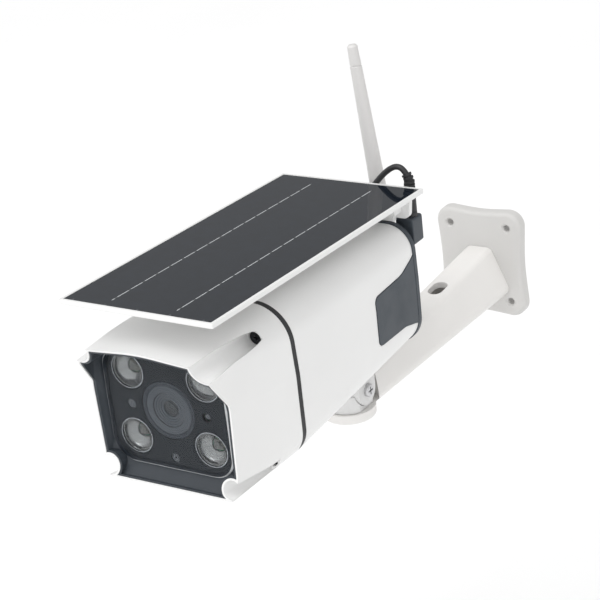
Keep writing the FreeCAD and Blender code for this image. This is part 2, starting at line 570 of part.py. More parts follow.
def make_lens_glass():
    y_rim = Y_MASK + 2.6
    bulge, r = 1.4, 5.2
    sphere_r = (r * r + bulge * bulge) / (2 * bulge)
    ball = Part.makeSphere(sphere_r, V(0, y_rim - bulge + sphere_r, LENS_Z))
    dome = ball.common(cyl(0, y_rim - bulge - 1, LENS_Z, r, bulge + 1, Y_AXIS))
    return dome.fuse(cyl(0, y_rim, LENS_Z, r, 1.0, Y_AXIS)).removeSplitter()


def make_lens_barrel():
    y0 = Y_MASK + 3.7
    barrel = cyl(0, y0, LENS_Z, 7.0, 3.0, Y_AXIS).fuse(cyl(0, y0 + 3.0, LENS_Z, 6.0, 14.0, Y_AXIS))
    return barrel.cut(cyl(0, y0 - 1, LENS_Z, 4.6, 20, Y_AXIS)).removeSplitter()


def make_lens_mount():
    y0 = Y_LED_BOARD + 6.0
    block = box(-8.5, y0, LENS_Z - 8.5, 8.5, y0 + 9.0, LENS_Z + 8.5)
    ears = box(-11.5, y0 + 7.0, LENS_Z - 3.0, 11.5, y0 + 9.0, LENS_Z + 3.0)
    return block.fuse(ears).cut(cyl(0, y0 - 1, LENS_Z, 6.0, 12, Y_AXIS)).removeSplitter()


def make_camera_board():
    y0 = Y_LED_BOARD + 15.0
    board = box(-19, y0, LENS_Z - 19, 19, y0 + 1.6, LENS_Z + 19)
    for sx in (-1, 1):
        for sz in (-1, 1):
            board = board.cut(cyl(sx * 16.5, y0 - 1, LENS_Z + sz * 16.5, 1.1, 4, Y_AXIS))
    sensor = box(-4.2, y0 - 1.2, LENS_Z - 3.6, 4.2, y0, LENS_Z + 3.6)
    chip = box(-6.0, y0 + 1.6, LENS_Z - 6.0, 6.0, y0 + 2.8, LENS_Z + 6.0)
    return board.fuse([sensor, chip]).removeSplitter()


def make_sensor(name):
    """Small round piece behind the window, with its two legs to the board."""
    x, z = SENSORS[name]
    y0 = Y_MASK + 0.4
    piece = cyl(x, y0, z, SENSOR_R - 0.1, Y_LED_BOARD - y0, Y_AXIS)
    if name == "status_lamp":
        ball = Part.makeSphere(SENSOR_R - 0.1, V(x, y0 + 3.0, z))
        piece = cyl(x, y0 + 3.0, z, SENSOR_R - 0.1, Y_LED_BOARD - y0 - 3.0, Y_AXIS).fuse(ball)
        return piece.removeSplitter()
    if name == "microphone":
        piece = piece.cut(cyl(x, y0 - 1, z, 0.6, 2.0, Y_AXIS))
        return piece.cut(revolve_y([(1.6, y0 - 0.1), (1.9, y0 - 0.1), (1.9, y0 + 0.3), (1.6, y0 + 0.3)], x, z))
    for k in (-1, 0, 1):
        piece = piece.cut(box(x - 1.8, y0 - 1, z + 1.2 * k - 0.2, x + 1.8, y0 + 0.25, z + 1.2 * k + 0.2))
    return piece


# ---- inside the shell -----------------------------------------------------------------------------
BATTERY_Z, CELL_R, CELL_L, CELL_Y0 = 46.0, 9.2, 65.0, -314.0
CELL_X = (-29.4, -9.8, 9.8, 29.4)


def make_battery_cells():
    cells = []
    for x in CELL_X:
        cell = cyl(x, CELL_Y0, BATTERY_Z, CELL_R, CELL_L - 1.0, Y_AXIS)
        nub = cyl(x, CELL_Y0 + CELL_L - 1.0, BATTERY_Z, 2.8, 1.0, Y_AXIS)
        cells.append(cell.fuse(nub).removeSplitter())
    return group(cells)


def make_battery_holder():
    y0, y1 = CELL_Y0 - 3.0, CELL_Y0 + CELL_L + 3.0
    tray = box(-41.0, y0, BATTERY_Z - 11.2, 41.0, y1, BATTERY_Z + 2.0)
    tray = tray.cut(box(-38.9, y0 + 2.8, BATTERY_Z - 9.3, 38.9, y1 - 2.8, BATTERY_Z + 10))
    corner_cut = Part.makeCompound([box(-60, y0 - 1, 0, -34, y1 + 1, 24), box(34, y0 - 1, 0, 60, y1 + 1, 24)])
    return tray.cut(corner_cut)


def make_chassis():
    """Plate between the battery and the main board, with posts for the board."""
    plate = box(-40, -318, 58.0, 40, -200, 60.0)
    posts = [cyl(sx * 32, y, 60.0, 2.6, 6.0) for sx in (-1, 1) for y in (-308.0, -222.0)]
    chassis = plate.fuse(posts)
    chassis = chassis.cut(box(-12, -300, 57, 12, -240, 61))
    return chassis.removeSplitter()


def make_main_board():
    board = box(-36, -314, 66.0, 36, -216, 67.6)
    for sx in (-1, 1):
        for y in (-308.0, -222.0):
            board = board.cut(cyl(sx * 32, y, 65, 1.3, 4))
    chips = [(-8, -280, 16, 16, 1.6), (14, -262, 12, 18, 1.4), (-24, -246, 10, 10, 3.5), (-26, -290, 8, 14, 6.0),
             (18, -300, 18, 8, 7.0), (8, -232, 22, 12, 2.4), (-14, -228, 10, 8, 8.0)]
    for x, y, w, l, h in chips:
        board = board.fuse(box(x, y, 67.6, x + w, y + l, 67.6 + h))
    return board.removeSplitter()


def make_speaker():
    z0 = 15.8
    profile_r = [(0, z0 + 1.6), (4, z0 + 1.6), (11.5, z0 + 0.4), (14, z0), (14, z0 + 3.0),
                 (7.5, z0 + 5.5), (0, z0 + 5.5)]
    points = [V(r, -290, z) for r, z in profile_r]
    face = Part.Face(Part.makePolygon(points + points[:1]))
    return face.revolve(V(0, -290, 0), Z_AXIS, 360)


def make_service_board():
    y0 = Y_BACK - BAY_DEPTH - 7.5
    board = box(-16, y0, 45.0, 16, y0 + 1.6, 65.0)
    tact = box(RESET_X - 3, y0 + 1.6, RESET_Z - 3, RESET_X + 3, y0 + 2.9, RESET_Z + 3)
    slide_switch = box(2.0, y0 + 1.6, 56.6, 12.5, y0 + 3.2, 61.8)
    return board.fuse([tact, slide_switch]).removeSplitter()


def make_usb_socket():
    y0, y1 = Y_BACK - BAY_DEPTH - 5.9, Y_BACK - BAY_DEPTH - 0.2
    shellbox = box(-12.8, y0, 57.2, -4.2, y1, 60.2)
    shellbox = shellbox.cut(box(-12.3, y0 + 1, 57.7, -4.7, y1 + 1, 59.7))
    return shellbox.fuse(box(-11.0, y0 + 0.9, 58.4, -6.0, y1 - 0.8, 59.0)).removeSplitter()


def make_card_socket():
    y0, y1 = Y_BACK - BAY_DEPTH - 5.9, Y_BACK - BAY_DEPTH - 0.2
    shellbox = box(-13.4, y0, 49.6, -1.6, y1, 51.4)
    return shellbox.cut(box(-13.0, y0 + 0.6, 49.95, -2.0, y1 + 1, 51.05))


def make_reset_button():
    y0 = Y_BACK - BAY_DEPTH - 3.5
    stem = cyl(RESET_X, y0, RESET_Z, RESET_R, 5.0, Y_AXIS)
    stem = stem.makeFillet(0.5, [e for e in stem.Edges if e.BoundBox.YMin > y0 + 4.9])
    return stem


def make_power_switch():
    y0 = Y_BACK - BAY_DEPTH - 3.6
    knob = box(1.9, y0, 57.5, 6.1, y0 + 5.2, 60.9)
    for k in (0, 1, 2):
        x = 2.8 + 1.1 * k
        knob = knob.cut(box(x, y0 + 4.7, 57, x + 0.4, y0 + 6, 62))
    return knob


FLAP_HINGE_Y, FLAP_HINGE_Z = Y_BACK + 1.5, BAY_Z0 - 3.0


def make_service_flap():
    """Rubber cover of the service bay, with a plug rib behind it and a thumb lip at its top."""
    y0 = Y_BACK + GAP
    z0, z1 = FLAP_HINGE_Z, BAY_Z1 + 2.5
    plate = prism([(-BAY_X - 2.5, z0), (BAY_X + 2.5, z0), (BAY_X + 2.5, z1), (-BAY_X - 2.5, z1)],
                  [2.0, 2.0, 4.0, 4.0], on_y(y0), V(0, 2.2, 0))
    outer_edges = [e for e in plate.Edges if e.BoundBox.YMin > y0 + 2.1]
    plate = plate.makeFillet(0.7, outer_edges)
    rib_x, rib_z0, rib_z1 = BAY_X - 0.5, BAY_Z0 + 1.6, BAY_Z1 - 0.6
    rib = prism([(-rib_x, rib_z0), (rib_x, rib_z0), (rib_x, rib_z1), (-rib_x, rib_z1)], [2.0] * 4,
                on_y(y0 - 1.6), V(0, 1.7, 0))
    core = prism([(-rib_x + 1.2, rib_z0 + 1.2), (rib_x - 1.2, rib_z0 + 1.2), (rib_x - 1.2, rib_z1 - 1.2),
                  (-rib_x + 1.2, rib_z1 - 1.2)], [1.2] * 4, on_y(y0 - 2), V(0, 2.0, 0))
    lip = prism([(-6, z1 - 1.5), (6, z1 - 1.5), (6, z1 + 2.2), (-6, z1 + 2.2)], [0, 0, 1.5, 1.5],
                on_y(y0 + 0.8), V(0, 1.4, 0))
    barrel = cyl(-BAY_X, FLAP_HINGE_Y, FLAP_HINGE_Z, 1.1, 2 * BAY_X, X_AXIS)
    return plate.fuse([rib.cut(core), lip, barrel]).removeSplitter()


# ---- solar panel ----------------------------------------------------------------------------------
def to_panel(shape):
    """Moves a shape built flat under Z = 0 to the pitched panel's place."""
    placed = shape.copy()
    placed.rotate(V(0, 0, 0), X_AXIS, PANEL_PITCH)
    placed.translate(PANEL_CENTRE)
    return placed


def make_panel_frame():
    w, l, r = PANEL_W / 2, PANEL_L / 2, PANEL_CORNER_R
    frame = prism([(-w, -l), (w, -l), (w, l), (-w, l)], [r] * 4, on_z(-PANEL_T), V(0, 0, PANEL_T))
    rims = [e for e in frame.Edges if e.BoundBox.ZMax < -PANEL_T + 0.01 or e.BoundBox.ZMin > -0.01]
    frame = frame.makeFillet(0.4, rims)
    cw, cl = w - PANEL_BORDER, l - PANEL_BORDER
    bed = prism([(-cw, -cl), (cw, -cl), (cw, cl), (-cw, cl)], [0.6] * 4, on_z(-CELL_T - 0.3), V(0, 0, 3))
    return to_panel(frame.cut(bed))


def make_solar_cells():
    cw, cl = PANEL_W / 2 - PANEL_BORDER, PANEL_L / 2 - PANEL_BORDER
    sheet = prism([(-cw, -cl), (cw, -cl), (cw, cl), (-cw, cl)], [0.6] * 4, on_z(-CELL_T - 0.3), V(0, 0, CELL_T))
    return to_panel(sheet)


def make_busbars():
    bars = []
    z = -0.3
    for x in (-BUSBAR_X, BUSBAR_X):
        bars.append(to_panel(box(x - BUSBAR_W / 2, BUSBAR_Y0, z, x + BUSBAR_W / 2, BUSBAR_Y1, z + 0.06)))
    return group(bars)


def make_panel_bracket():
    """Seat on the roof, plate under the panel and the flange that hangs behind its rear edge."""
    under = to_panel(box(-200, -200, -80, 200, 200, -PANEL_T))
    plate = to_panel(box(-43, 89.0, -PANEL_T - 2.6, 43, 114.5, -PANEL_T))
    flange = prism([(-44.6, 105.9), (44.6, 105.9), (47.2, 128), (-47.2, 128)], [4.0, 4.0, 0, 0],
                   on_y(FLANGE_Y0), V(0, FLANGE_Y1 - FLANGE_Y0, 0))
    seat = prism([(-23, -206), (23, -206), (23, -187), (-23, -187)], [4.0] * 4, on_z(95), V(0, 0, 40))
    ribs = [box(x - 1.5, -190, 110.5, x + 1.5, FLANGE_Y0 + 0.5, 130) for x in (-38, 0, 38)]
    ribs += [box(x - 4.5, FLANGE_Y0 - 3.3, 104.4, x + 4.5, FLANGE_Y0 + 0.5, 130) for x in (-30.5, 30.5)]
    bracket = plate.fuse([flange.common(under), seat.common(under)] + [r.common(under) for r in ribs])
    bracket = bracket.cut(shell_loft(0, Y_JOINT, Y_TAIL + 20))
    for x, y in BRACKET_SCREWS:
        bracket = bracket.cut(cyl(x, y, 90, 1.6, 21))
    return bracket.removeSplitter()


def make_bracket_screws():
    screws = []
    for x, y in BRACKET_SCREWS:
        head = cyl(x, y, 98.4, 3.0, 2.4)
        screws.append(head.fuse(cyl(x, y, 100.7, 1.6, 9.6)).removeSplitter())
    return group(screws)


def make_panel_junction():
    junction = box(-28, FLANGE_Y1, 104.0, -12, -166.2, 116.0)
    junction = junction.makeFillet(1.5, [e for e in junction.Edges if e.BoundBox.YMax > -166.3])
    return junction


def make_lead_gland():
    x0, y, z = LEAD_ROUTE[0]
    gland = cyl(-12, y, z, 3.6, 1.4, X_AXIS).fuse(cone(-10.6, y, z, 3.2, 2.5, x0 + 10.6, X_AXIS))
    return gland.removeSplitter()


def tangent_path(points):
    """Straight runs joined by arcs as large as the runs allow; returns the wire and the arc radii."""
    p = [V(*q) for q in points]
    edges = []
    radii = []
    start = p[0]
    for i in range(1, len(p) - 1):
        to_a = p[i - 1] - p[i]
        to_c = p[i + 1] - p[i]
        run = min(to_a.Length, to_c.Length)
        to_a.normalize()
        to_c.normalize()
        half_turn = (math.pi - to_a.getAngle(to_c)) / 2
        reach = 0.45 * run
        r = reach / math.tan(half_turn)
        radii.append(round(r, 1))
        a = p[i] + to_a * reach
        c = p[i] + to_c * reach
        middle = p[i] + (to_a + to_c).normalize() * (r / math.cos(half_turn) - r)
        edges.append(Part.LineSegment(start, a).toShape())
        edges.append(Part.Arc(a, middle, c).toShape())
        start = c
    edges.append(Part.LineSegment(start, p[-1]).toShape())
    return Part.Wire(edges), radii


def tube(points, r):
    path, radii = tangent_path(points)
    first = V(*points[1]) - V(*points[0])
    section = Part.Wire(Part.makeCircle(r, V(*points[0]), first))
    solid = path.makePipeShell([section], True, True)
    return solid, path.Length, radii


def make_solar_lead():
    solid, length, radii = tube(LEAD_ROUTE, LEAD_R)
    print("lead length %.1f radii %s volume check %.3f"
          % (length, radii, solid.Volume / (math.pi * LEAD_R ** 2 * length)))
    return solid


def make_lead_boot():
    """Ribbed strain relief that bends with the lead."""
    core, length, radii = tube(BOOT_ROUTE, 2.7)
    path, radii = tangent_path(BOOT_ROUTE)
    ribs = []
    for k in range(5):
        s = 2.2 + 2.25 * k
        point, tangent = point_on(path, s)
        ribs.append(Part.makeCylinder(3.75 - 0.12 * k, 1.3, point, tangent))
    collar = cyl(BOOT_ROUTE[0][0], BOOT_ROUTE[0][1], BOOT_ROUTE[0][2], 3.8, 1.4)
    boot = core.fuse(ribs + [collar])
    return boot.removeSplitter()


def point_on(path, s):
    """Point and unit tangent at the distance s along a wire."""
    for edge in path.OrderedEdges:
        if s <= edge.Length:
            u = edge.getParameterByLength(s)
            return edge.valueAt(u), edge.tangentAt(u)
        s -= edge.Length
    return path.OrderedEdges[-1].valueAt(path.OrderedEdges[-1].LastParameter), Z_AXIS


def make_dc_plug():
    body = cyl(PLUG_X, PLUG_Y, PORT_Z1 + 0.2, 3.8, BOOT_ROUTE[0][2] - PORT_Z1 - 0.2)
    tip = cyl(PLUG_X, PLUG_Y, PORT_Z1 - 9.0, 2.7, 9.4)
    groove = cyl(PLUG_X, PLUG_Y, PORT_Z1 + 3.0, 5, 0.8).cut(cyl(PLUG_X, PLUG_Y, PORT_Z1 + 2.0, 3.4, 3))
    bore = cyl(PLUG_X, PLUG_Y, PORT_Z1 - 10.0, 1.2, 9.0)
    return body.fuse(tip).cut(groove).cut(bore).removeSplitter()


def make_port_housing():
    points = [(PORT_X0, PORT_Z0), (PORT_X1 - 7.0, PORT_Z0), (PORT_X1, PORT_Z0 + 4.6), (PORT_X1, PORT_Z1),
              (PORT_X0, PORT_Z1)]
    block = prism(points, [0, 1.5, 1.5, 1.6, 1.0], on_y(PORT_Y0), V(0, PORT_Y1 - PORT_Y0, 0))
    ends = [e for e in block.Edges if e.BoundBox.YMin > PORT_Y1 - 0.01 or e.BoundBox.YMax < PORT_Y0 + 0.01]
    block = block.makeFillet(0.8, ends)
    block = block.cut(cyl(PLUG_X, PLUG_Y, PORT_Z1 - 12.0, 3.6, 20))
    return block.cut(back_solid(0)).removeSplitter()


def make_dc_jack():
    sleeve = cyl(PLUG_X, PLUG_Y, PORT_Z1 - 12.0, 3.6, 11.6)
    sleeve = sleeve.cut(cyl(PLUG_X, PLUG_Y, PORT_Z1 - 10.8, 2.8, 20))
    pin = cyl(PLUG_X, PLUG_Y, PORT_Z1 - 11.0, 1.0, 8.0)
    return sleeve.fuse(pin).removeSplitter()


# ---- antenna --------------------------------------------------------------------------------------
def lean(shape):
    placed = shape.copy()
    placed.rotate(V(ANT_X, ANT_Y, ANT_Z), Y_AXIS, -ANT_LEAN)
    return placed


def make_antenna_socket():
    thread = cyl(ANT_X, Y_BACK - 7, ANT_Z, 3.1, 15.0, Y_AXIS)
    flange = prism(hexagon(ANT_X, ANT_Z, 4.4), [0] * 6, on_y(Y_BACK - 4.4), V(0, 1.9, 0))
    return thread.fuse(flange).cut(cyl(ANT_X, Y_BACK + 3, ANT_Z, 1.2, 8, Y_AXIS)).removeSplitter()


def make_antenna_nut():
    nut = prism(hexagon(ANT_X, ANT_Z, 4.9), [0] * 6, on_y(Y_BACK), V(0, 2.3, 0))
    return nut.cut(cyl(ANT_X, Y_BACK - 1, ANT_Z, 3.1, 8, Y_AXIS))


def make_antenna_base():
    """Collar that turns on the socket, and the fork that the whip folds in."""
    y0 = Y_BACK + 2.8
    collar = cyl(ANT_X, y0, ANT_Z, 5.0, 6.6, Y_AXIS)
    collar = collar.makeChamfer(0.5, [e for e in collar.Edges if e.BoundBox.YMax < y0 + 0.01])
    for k in range(12):
        a = math.radians(30 * k)
        groove = cyl(ANT_X + 5.25 * math.cos(a), y0 + 0.8, ANT_Z + 5.25 * math.sin(a), 0.5, 4.2, Y_AXIS)
        collar = collar.cut(groove)
    collar = collar.cut(cyl(ANT_X, y0 - 1, ANT_Z, 3.1 + RUN, 6.3, Y_AXIS))
    ears = cyl(ANT_X - 5.0, ANT_Y, ANT_Z, 4.9, 10.0, X_AXIS)
    neck = box(ANT_X - 5.0, y0 + 6.0, ANT_Z - 4.9, ANT_X + 5.0, ANT_Y, ANT_Z + 4.9)
    fork = ears.fuse(neck).common(cyl(ANT_X, y0, ANT_Z, 5.4, 30, Y_AXIS).fuse(ears))
    fork = fork.cut(box(ANT_X - 2.3, ANT_Y - 5.3, ANT_Z - 10, ANT_X + 2.3, ANT_Y + 10, ANT_Z + 10))
    base = collar.fuse(fork).cut(cyl(ANT_X - 10, ANT_Y, ANT_Z, 1.25, 20, X_AXIS))
    return lean(base.removeSplitter())


def make_antenna_pin():
    return lean(cyl(ANT_X - 4.9, ANT_Y, ANT_Z, 1.25, 9.8, X_AXIS))


def make_antenna_whip():
    foot_z, tip_z = 5.7, ANT_LENGTH
    ring_z = tip_z - 14.0
    profile = [(0, foot_z), (4.6, foot_z), (ANT_R_LOW, foot_z + 1.4), (ANT_R_LOW, foot_z + 16),
               (ANT_R_TIP + 0.45, ring_z - 0.6), (ANT_R_TIP + 0.05, ring_z - 0.3), (ANT_R_TIP + 0.05, ring_z + 0.3),
               (ANT_R_TIP + 0.35, ring_z + 0.6), (ANT_R_TIP, tip_z - 1.4), (ANT_R_TIP - 1.0, tip_z - 0.2), (0, tip_z)]
    points = [V(ANT_X + r, ANT_Y, ANT_Z + z) for r, z in profile]
    face = Part.Face(Part.makePolygon(points + points[:1]))
    whip = face.revolve(V(ANT_X, ANT_Y, ANT_Z), Z_AXIS, 360)
    tongue = cyl(ANT_X - 2.0, ANT_Y, ANT_Z, 4.7, 4.0, X_AXIS)
    neck = box(ANT_X - 2.0, ANT_Y - 4.4, ANT_Z, ANT_X + 2.0, ANT_Y + 4.4, ANT_Z + foot_z + 1)
    whip = whip.fuse([tongue, neck]).cut(cyl(ANT_X - 10, ANT_Y, ANT_Z, 1.25 + RUN, 20, X_AXIS))
    whip = whip.cut(cyl(ANT_X, ANT_Y, ANT_Z + 12, 1.5, 80))
    return lean(whip.removeSplitter())


def make_antenna_core():
    return lean(cyl(ANT_X, ANT_Y, ANT_Z + 12.5, 1.3, 78))


# ---- build ----------------------------------------------------------------------------------------
MAKERS = dict(
    wall_bracket=make_wall_bracket, swivel_head=make_swivel_head, pan_bolt=make_pan_bolt,
    mount_foot=make_mount_foot, tilt_bolt=make_tilt_bolt, tilt_nut=make_tilt_nut, foot_screws=make_foot_screws,
    front_cover=make_front_cover, cover_screws=make_cover_screws, body_gasket=make_body_gasket,
    main_shell=make_main_shell, rear_cap=make_rear_cap, cap_screws=make_cap_screws,
    face_bezel=make_face_bezel, face_window=make_face_window, face_mask=make_face_mask,
    lamp_holders=make_lamp_holders, lamp_reflectors=make_reflectors, lamp_lenses=make_lamp_lenses,
    lamp_chips=make_lamp_chips, led_board=make_led_board, lens_shield=make_lens_shield,
    lens_face=make_lens_face, lens_glass=make_lens_glass, lens_barrel=make_lens_barrel,
    lens_mount=make_lens_mount, camera_board=make_camera_board,
    battery_cells=make_battery_cells, battery_holder=make_battery_holder, chassis=make_chassis,
    main_board=make_main_board, speaker=make_speaker, service_board=make_service_board,
    usb_socket=make_usb_socket, card_socket=make_card_socket, reset_button=make_reset_button,
    power_switch=make_power_switch, service_flap=make_service_flap,
    panel_frame=make_panel_frame, solar_cells=make_solar_cells, panel_busbars=make_busbars,
    panel_bracket=make_panel_bracket, bracket_screws=make_bracket_screws,
    panel_junction=make_panel_junction, lead_gland=make_lead_gland, solar_lead=make_solar_lead,
    lead_boot=make_lead_boot, dc_plug=make_dc_plug,
    port_housing=make_port_housing, dc_jack=make_dc_jack,
    antenna_socket=make_antenna_socket, antenna_nut=make_antenna_nut, antenna_base=make_antenna_base,
    antenna_pin=make_antenna_pin, antenna_whip=make_antenna_whip, antenna_core=make_antenna_core)

os.makedirs("parts", exist_ok=True)
for node, maker in MAKERS.items():
    save(node, maker())
for node in SENSORS:
    save(node, make_sensor(node))
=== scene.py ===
# A solar security camera on its wall arm.  Metres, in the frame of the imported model.
import json
import math

import bpy
from mathutils import Matrix, Vector


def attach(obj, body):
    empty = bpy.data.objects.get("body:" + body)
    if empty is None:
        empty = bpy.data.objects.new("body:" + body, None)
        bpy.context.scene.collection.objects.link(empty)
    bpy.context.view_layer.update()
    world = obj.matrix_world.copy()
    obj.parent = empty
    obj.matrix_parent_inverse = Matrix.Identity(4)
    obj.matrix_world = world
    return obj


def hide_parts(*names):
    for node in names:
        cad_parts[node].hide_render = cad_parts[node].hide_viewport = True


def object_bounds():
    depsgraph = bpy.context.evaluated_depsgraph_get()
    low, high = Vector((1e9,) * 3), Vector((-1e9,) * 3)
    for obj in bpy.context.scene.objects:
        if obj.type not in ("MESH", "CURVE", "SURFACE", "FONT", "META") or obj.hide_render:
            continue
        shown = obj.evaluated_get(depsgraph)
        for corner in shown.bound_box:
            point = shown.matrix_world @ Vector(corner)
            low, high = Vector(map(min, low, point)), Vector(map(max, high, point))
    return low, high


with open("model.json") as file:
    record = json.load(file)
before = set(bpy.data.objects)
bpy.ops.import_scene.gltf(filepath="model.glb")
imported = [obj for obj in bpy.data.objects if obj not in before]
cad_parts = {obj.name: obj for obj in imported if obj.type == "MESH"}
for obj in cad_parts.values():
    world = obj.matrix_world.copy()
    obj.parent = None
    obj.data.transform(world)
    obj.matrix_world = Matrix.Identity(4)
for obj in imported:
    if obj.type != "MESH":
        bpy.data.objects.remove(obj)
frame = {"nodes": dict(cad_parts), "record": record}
cad_low, cad_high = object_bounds()
nodes = frame["nodes"]
scene = bpy.context.scene

# ---- camera ---------------------------------------------------------------------------------------
CAMERA_AT = Vector((0.6197, -1.1505, 0.5455))
CAMERA_RIGHT = Vector((0.8447, 0.5244, -0.1071))
CAMERA_BACK = Vector((0.5198, -0.7564, 0.3971))

camera_data = bpy.data.cameras.new("camera")
camera_data.lens = 113.64
camera_data.sensor_width = 36.0
camera_data.clip_start = 0.05
camera_data.clip_end = 20.0
camera = bpy.data.objects.new("camera", camera_data)
scene.collection.objects.link(camera)
back = CAMERA_BACK.normalized()
right = (CAMERA_RIGHT - back * CAMERA_RIGHT.dot(back)).normalized()
turn = Matrix((right, back.cross(right), back)).transposed()
camera.matrix_world = Matrix.Translation(CAMERA_AT) @ turn.to_4x4()
scene.camera = camera

# ---- power lead -----------------------------------------------------------------------------------
LEAD_DIAMETER, LEAD_LENGTH = 0.0039, 0.0580
LEAD_ROUTE = [(-0.008, -0.1705, 0.1100), (0.0, -0.1702, 0.1108), (0.0075, -0.1697, 0.1152),
              (0.0140, -0.1693, 0.1218), (0.0205, -0.1692, 0.1290), (0.0267, -0.1692, 0.1341),
              (0.0319, -0.1693, 0.1363), (0.0363, -0.1694, 0.1351), (0.0388, -0.1694, 0.1312)]


def nurbs_tube(name, points, radius):
    """Round lead along one smooth curve that has the points as its control points, and its centreline."""
    curve = bpy.data.curves.new(name + "_line", "CURVE")
    curve.dimensions = "3D"
    spline = curve.splines.new("NURBS")
    spline.points.add(len(points) - 1)
    for place, point in zip(points, spline.points):
        point.co = (*place, 1.0)
    spline.order_u = 3
    spline.use_endpoint_u = True
    spline.resolution_u = 16
    line = bpy.data.objects.new(name + "_line", curve)
    scene.collection.objects.link(line)
    bare = bpy.data.meshes.new_from_object(line.evaluated_get(bpy.context.evaluated_depsgraph_get()))
    path = [tuple(vertex.co) for vertex in bare.vertices]
    curve.bevel_depth = radius
    curve.bevel_resolution = 6
    curve.use_fill_caps = True
    skin = bpy.data.meshes.new_from_object(line.evaluated_get(bpy.context.evaluated_depsgraph_get()))
    bpy.data.objects.remove(line)
    for polygon in skin.polygons:
        polygon.use_smooth = True
    tube = bpy.data.objects.new(name, skin)
    scene.collection.objects.link(tube)
    return tube, path


lead, lead_path = nurbs_tube("panel_lead", LEAD_ROUTE, LEAD_DIAMETER / 2)
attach(lead, "camera")
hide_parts("solar_lead")


# ---- material building blocks ---------------------------------------------------------------------
class Builder:
    """A material's node tree, with short ways to make the nodes that most surfaces share."""

    def __init__(self, name):
        self.material = bpy.data.materials.new(name)
        self.material.use_nodes = True
        self.tree = self.material.node_tree
        self.tree.nodes.clear()
        self.output = self.add("ShaderNodeOutputMaterial")
        self.place = self.add("ShaderNodeTexCoord").outputs["Object"]

    def add(self, kind, **settings):
        node = self.tree.nodes.new(kind)
        for key, value in settings.items():
            setattr(node, key, value)
        return node

    def link(self, source, target):
        self.tree.links.new(source, target)

    def noise(self, scale, detail=3.0, stretch=(1.0, 1.0, 1.0), distortion=0.0):
        mapping = self.add("ShaderNodeMapping")
        mapping.inputs["Scale"].default_value = stretch
        self.link(self.place, mapping.inputs["Vector"])
        node = self.add("ShaderNodeTexNoise")
        node.inputs["Scale"].default_value = scale
        node.inputs["Detail"].default_value = detail
        node.inputs["Distortion"].default_value = distortion
        self.link(mapping.outputs["Vector"], node.inputs["Vector"])
        return node.outputs["Fac"]

    def spread(self, source, low, high, from_low=0.3, from_high=0.7):
        node = self.add("ShaderNodeMapRange")
        node.inputs["From Min"].default_value = from_low
        node.inputs["From Max"].default_value = from_high
        node.inputs["To Min"].default_value = low
        node.inputs["To Max"].default_value = high
        self.link(source, node.inputs["Value"])
        return node.outputs["Result"]

    def math(self, operation, a, b=None):
        node = self.add("ShaderNodeMath", operation=operation)
        for value, socket in zip((a, b), node.inputs):
            if value is None:
                continue
            if isinstance(value, (int, float)):
                socket.default_value = value
            else:
                self.link(value, socket)
        return node.outputs["Value"]

    def mix(self, factor, a, b):
        node = self.add("ShaderNodeMix", data_type="RGBA")
        for value, socket in ((factor, node.inputs[0]), (a, node.inputs[6]), (b, node.inputs[7])):
            if isinstance(value, float):
                socket.default_value = value
            elif isinstance(value, tuple):
                socket.default_value = (*value, 1.0)
            else:
                self.link(value, socket)
        return node.outputs[2]

    def axis(self, index):
        node = self.add("ShaderNodeSeparateXYZ")
        self.link(self.place, node.inputs["Vector"])
        return node.outputs[index]

    def band(self, value, low, high):
        """1 where the value lies between low and high, else 0."""
        above = self.math("GREATER_THAN", value, low)
        below = self.math("LESS_THAN", value, high)
        return self.math("MULTIPLY", above, below)

    def rounded(self, radius):
        node = self.add("ShaderNodeBevel", samples=4)
        node.inputs["Radius"].default_value = radius
        return node.outputs["Normal"]

    def bump(self, height, depth, normal=None):
        node = self.add("ShaderNodeBump")
        node.inputs["Strength"].default_value = 1.0
        node.inputs["Distance"].default_value = depth
        self.link(height, node.inputs["Height"])
        if normal is not None:
            self.link(normal, node.inputs["Normal"])
        return node.outputs["Normal"]

    def principled(self, colour, roughness, normal=None, **constants):
        node = self.add("ShaderNodeBsdfPrincipled")
        if isinstance(colour, tuple):
            node.inputs["Base Color"].default_value = (*colour, 1.0)
        else:
            self.link(colour, node.inputs["Base Color"])
        if isinstance(roughness, float):
            node.inputs["Roughness"].default_value = roughness
        else:
            self.link(roughness, node.inputs["Roughness"])
        if normal is not None:
            self.link(normal, node.inputs["Normal"])
        for key, value in constants.items():
            node.inputs[key.replace("_", " ")].default_value = value
        return node.outputs["BSDF"]

    def finish(self, shader):
        self.link(shader, self.output.inputs["Surface"])
        return self.material


MOULDED_EDGE, METAL_EDGE = 0.0004, 0.0003      # radius of softened edges


def shade(colour, factor):
    return tuple(min(1.0, c * factor) for c in colour)


def moulded(name, colour, roughness, grain=1400.0, depth=0.00003, mottle=0.03, shade_band=None, **constants):
    """Moulded plastic or rubber: fine spark texture, faint mottling, uneven gloss and softened edges.

    The band given as (low, high, colour) is painted in that colour where y lies between low and high, as
    painted shade."""
    m = Builder(name)
    broad = m.noise(22.0, 4.0)
    fine = m.noise(grain, 2.0)
    smudge = m.noise(75.0, 5.0, distortion=0.6)
    colour_out = m.mix(m.spread(broad, 0.0, 1.0), shade(colour, 1 - mottle), shade(colour, 1 + mottle))
    # painted shade: a darker colour laid over the given band of y
    if shade_band is not None:
        low, high, painted_shade_colour = shade_band
        colour_out = m.mix(m.band(m.axis(1), low, high), colour_out, painted_shade_colour)
    rough_out = m.spread(smudge, max(0.03, roughness - 0.06), min(1.0, roughness + 0.07))
    normal = m.bump(fine, depth, m.rounded(MOULDED_EDGE))
    return m.finish(m.principled(colour_out, rough_out, normal, **constants))


